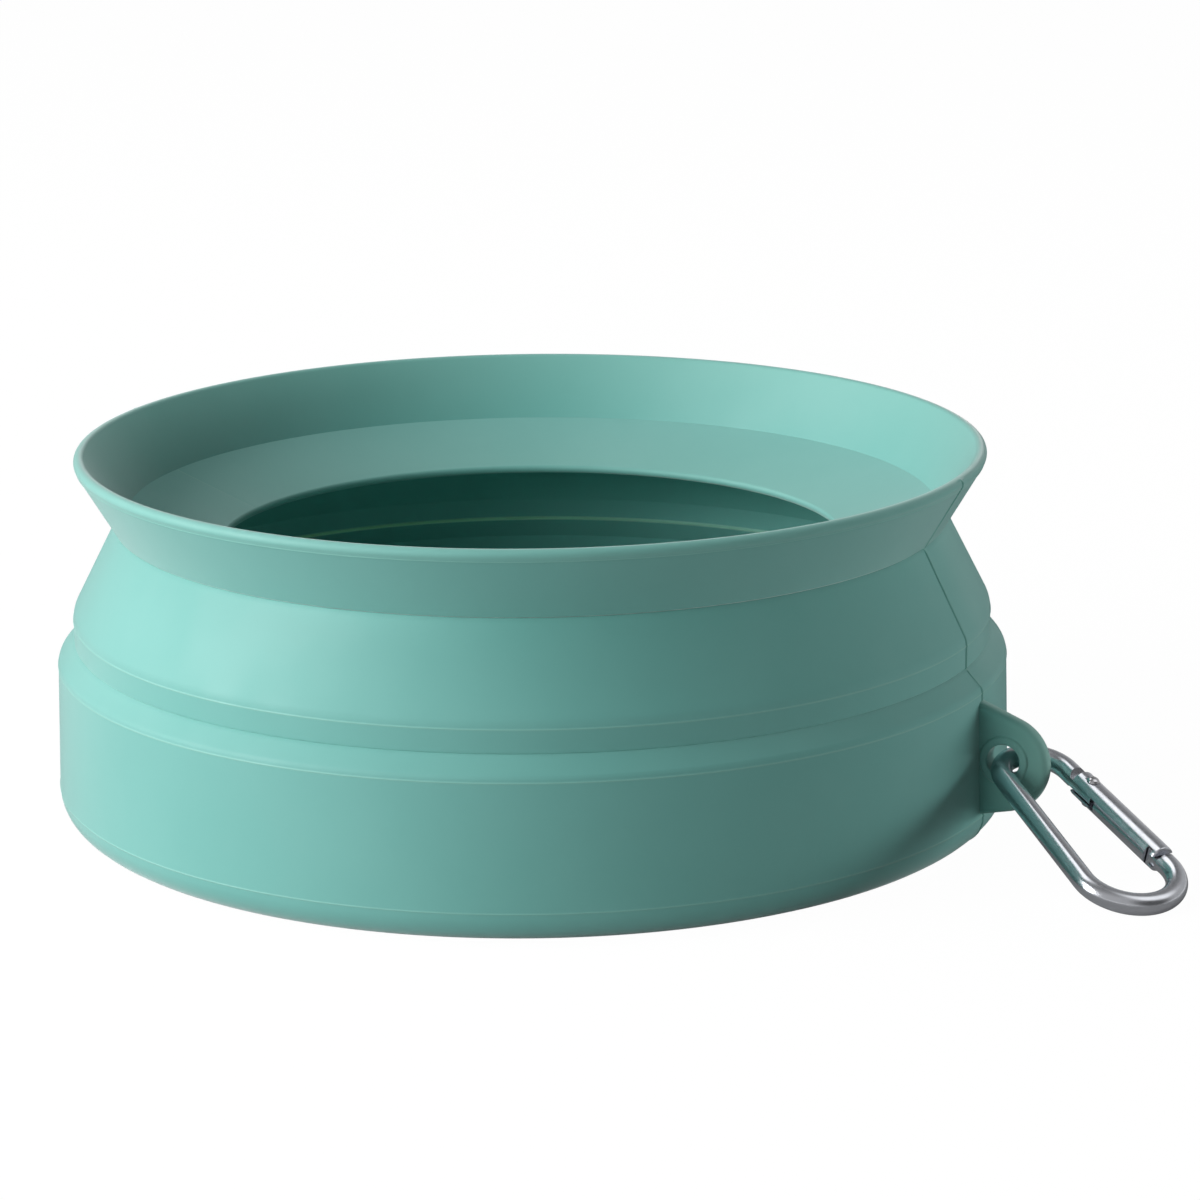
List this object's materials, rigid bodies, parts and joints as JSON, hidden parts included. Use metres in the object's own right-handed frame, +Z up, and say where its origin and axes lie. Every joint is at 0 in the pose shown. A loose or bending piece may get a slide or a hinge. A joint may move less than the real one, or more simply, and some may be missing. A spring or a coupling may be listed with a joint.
{
  "type": "collapsible silicone bowl",
  "caption": "Round collapsible silicone bowl with folding stepped walls, a flared rim with an inner splash guard, and a hanging lug that carries a spring-gate carabiner.",
  "frame": {"origin": "on the bowl's axis, at the plane that it stands on", "axes": "+Z up along the bowl's axis, +X out through the hanging lug and its carabiner"},
  "size_m": [0.2255, 0.1814, 0.0692],
  "materials": {
    "silicone": "moulded teal silicone with a fine satin-matt skin",
    "polished_metal": "polished bright plated rod with fine handling marks",
    "rivet_steel": "domed and polished rivet heads",
    "spring_steel": "drawn spring wire and turned steel"
  },
  "bodies": {
    "base": {"base_cup": "silicone", "hanging_lug": "silicone", "lower_fold": "silicone"},
    "collar": {"collar_band": "silicone", "shoulder_fold": "silicone"},
    "rim": {"flared_rim": "silicone", "splash_guard": "silicone"},
    "carabiner": {"carabiner_body": "polished_metal", "gate_rivet": "rivet_steel"},
    "gate": {"carabiner_gate": "polished_metal", "gate_spring": "spring_steel"},
    "plunger": {"gate_plunger": "spring_steel"}
  },
  "joints": [
    {"name": "collar_fold", "type": "slide", "parent": "base", "child": "collar", "axis": [0, 0, -1], "range_m": [0, 0.0075], "deforming": ["lower_fold"]},
    {"name": "rim_fold", "type": "slide", "parent": "collar", "child": "rim", "axis": [0, 0, -1], "range_m": [0, 0.026], "deforming": ["shoulder_fold"]},
    {"name": "carabiner_swing", "type": "hinge", "parent": "base", "child": "carabiner", "pos_m": [0.09505, 0, 0.0174], "axis": [0, 1, 0], "range_deg": [-105, 65]},
    {"name": "gate_hinge", "type": "hinge", "parent": "carabiner", "child": "gate", "pos_m": [0.11105, 0.00034, 0.01276], "axis": [-0.2467, 0.207, -0.9467], "range_deg": [0, 30], "stiffness_Nm_per_rad": 0.02, "springref_deg": -28.65},
    {"name": "plunger_slide", "type": "slide", "parent": "gate", "child": "plunger", "axis": [0.7684, -0.5536, -0.3213], "range_m": [0, 0.0006], "deforming": ["gate_spring"]}
  ],
  "couplings": [
    {"joint": "plunger_slide", "follows": "gate_hinge", "m_per_rad": 0.0011}
  ]
}
